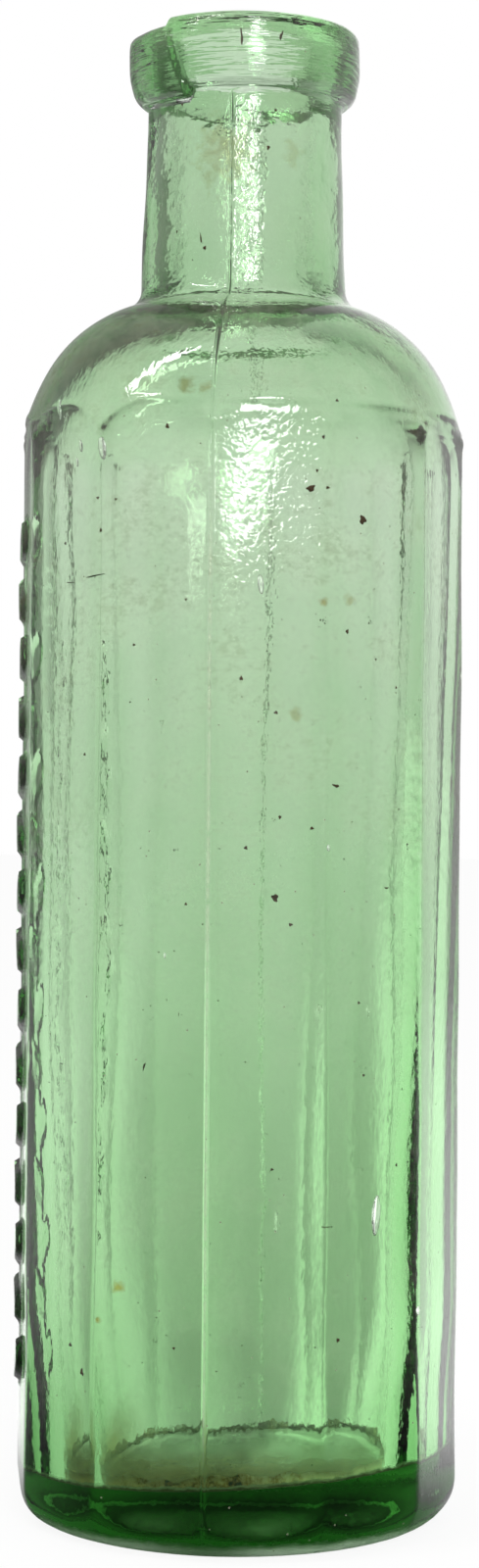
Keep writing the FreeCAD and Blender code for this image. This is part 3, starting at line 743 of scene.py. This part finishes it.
def makeTable():
    half = room["tableHalf"] / mm
    points = np.array([[-half, -half, 0], [half, -half, 0], [half, half, 0], [-half, half, 0]])
    material, paint = newMaterial("whiteTable")
    path, byGlass = rayKinds(paint)
    place = paint.node("SeparateXYZ", sockets={0: paint.node("TexCoord", out="Object")})
    plain = paint.node("BsdfPrincipled", {}, {
        "Base Color": room["tableColour"], "Roughness": 0.7, "Specular IOR Level": 0.1})
    reach = paint.maths("SQRT", place * place + place.other("Y") * place.other("Y"))
    turnedBack = paint.maths("MINIMUM", path.other("Glossy Depth"), 1.0)
    glow = tableGlow(paint, place, reach, byGlass, turnedBack)
    white = paint.node("Emission", {}, {"Color": (1, 1, 1, 1), "Strength": glow})
    whiter = 0.5 + paint.fade(reach, 0.2, 1.0) * 0.5
    lit = paint.node("MixShader", {}, {0: path * 0.9 + byGlass * whiter, 1: plain, 2: white})
    # painted shade: reflections see the table in front of the bottle dim, dimmest close to it
    front = paint.fade(0 - place.other("Y"), -0.05, 0.02) * path.other("Is Reflection Ray")
    frontShadeLevel = room["frontNear"] + paint.fade(reach, 0.05, 0.16) * room["frontFar"]
    dark = paint.node("Emission", {}, {"Color": (1, 1, 1, 1), "Strength": frontShadeLevel})
    surface = paint.node("MixShader", {}, {0: front, 1: lit, 2: dark})
    paint.node("OutputMaterial", {}, {"Surface": surface})
    table = newPiece("table", points, [np.array([[0, 1, 2, 3]])], material)


def makeRoom():
    # white walls, dimmer overhead; light that the glass has turned back shows them dim in front, at the left
    # and high at both sides
    world = bpy.data.worlds.new("whiteRoom")
    scene.world = world
    world.use_nodes = True
    paint = Paint(world.node_tree)
    path, byGlass = rayKinds(paint)
    way = paint.node("SeparateXYZ", sockets={0: paint.node("TexCoord", out="Generated")})
    turnedBack = paint.maths("MINIMUM", path.other("Glossy Depth"), 1.0)
    overhead = paint.fade(way.other("Z"), 0.4, 0.85)
    front = paint.fade(0 - way.other("Y"), -0.75, 0.25) * turnedBack
    front = front * (1 - paint.fade(way.other("Z"), 0.1, 0.4) * 0.5)
    left = paint.fade(0 - way, 0.08, 0.25) * (1 - paint.fade(0 - way, 0.7, 0.85)) * turnedBack
    aside = paint.fade(paint.maths("ABSOLUTE", way), 0.25, 0.5)
    aloft = paint.fade(way.other("Z"), 0.2, 0.6) * aside * turnedBack
    level = (1 - overhead * room["overheadShade"]) * (1 - front * room["frontWallShade"])
    level = level * (1 - left * room["leftWallShade"]) * (1 - aloft * room["aloftShade"])
    light = paint.node("Background", {}, {"Color": (1, 1, 1, 1), "Strength": room["wallLight"]})
    level = paint.maths("MAXIMUM", path, level)
    shown = paint.node("Background", {}, {"Color": (1, 1, 1, 1), "Strength": level})
    seen = paint.maths("MAXIMUM", path, byGlass)
    surface = paint.node("MixShader", {}, {0: seen, 1: light, 2: shown})
    paint.node("OutputWorld", {}, {"Surface": surface})


lamps = [  # oval and soft: degrees round from the front seam, metres out and up, width, height, roll, watts
    {"name": "window", "around": 18.9, "out": 0.86, "high": 0.40, "wide": 0.28, "tall": 0.44, "roll": 0,
     "watts": 5.2},
    {"name": "tube", "around": -53.0, "out": 0.52, "high": 0.84, "wide": 0.05, "tall": 0.60, "roll": -29,
     "watts": 2.1},
]
lampTarget = 0.1  # how far up the axis the lamps point, in metres
camera = {"around": 7.5, "far": 336.0, "height": 78.4, "roll": -0.45, "focal": 3182.0, "imageTall": 1600.0}


def aimed(around, out, high, target, roll):
    # a place out from the axis at a height, and the turn that faces the axis at the target's height
    turn, rise = math.radians(around), math.atan2(high - target, out)
    place = (out * math.sin(turn), -out * math.cos(turn), high)
    rolled = Matrix.Rotation(math.radians(roll), 3, "Z")
    look = Euler((math.pi / 2 - rise, 0, turn)).to_matrix() @ rolled
    return place, look.to_euler()


def makeLamps():
    for lamp in lamps:
        data = bpy.data.lights.new(lamp["name"], "AREA")
        data.shape = "ELLIPSE"
        data.size = lamp["wide"]
        data.size_y = lamp["tall"]
        data.energy = lamp["watts"]
        thing = bpy.data.objects.new(lamp["name"], data)
        place, look = aimed(lamp["around"], lamp["out"], lamp["high"], lampTarget, lamp["roll"])
        thing.location, thing.rotation_euler = place, look
        thing.visible_camera = False
        scene.collection.objects.link(thing)


def makeCamera():
    data = bpy.data.cameras.new("photoView")
    data.sensor_width = 36.0
    data.lens = data.sensor_width * camera["focal"] / camera["imageTall"]
    thing = bpy.data.objects.new("photoView", data)
    level = camera["height"] * mm
    place, look = aimed(camera["around"], camera["far"] * mm, level, level, -camera["roll"])
    thing.location, thing.rotation_euler = place, look
    scene.collection.objects.link(thing)
    scene.camera = thing


makeTable()
makeRoom()
makeLamps()
makeCamera()
scene.view_settings.view_transform = "Standard"
scene.cycles.max_bounces = 24
scene.cycles.transmission_bounces = 24
scene.cycles.glossy_bounces = 12
print("stage, lamps and camera set")
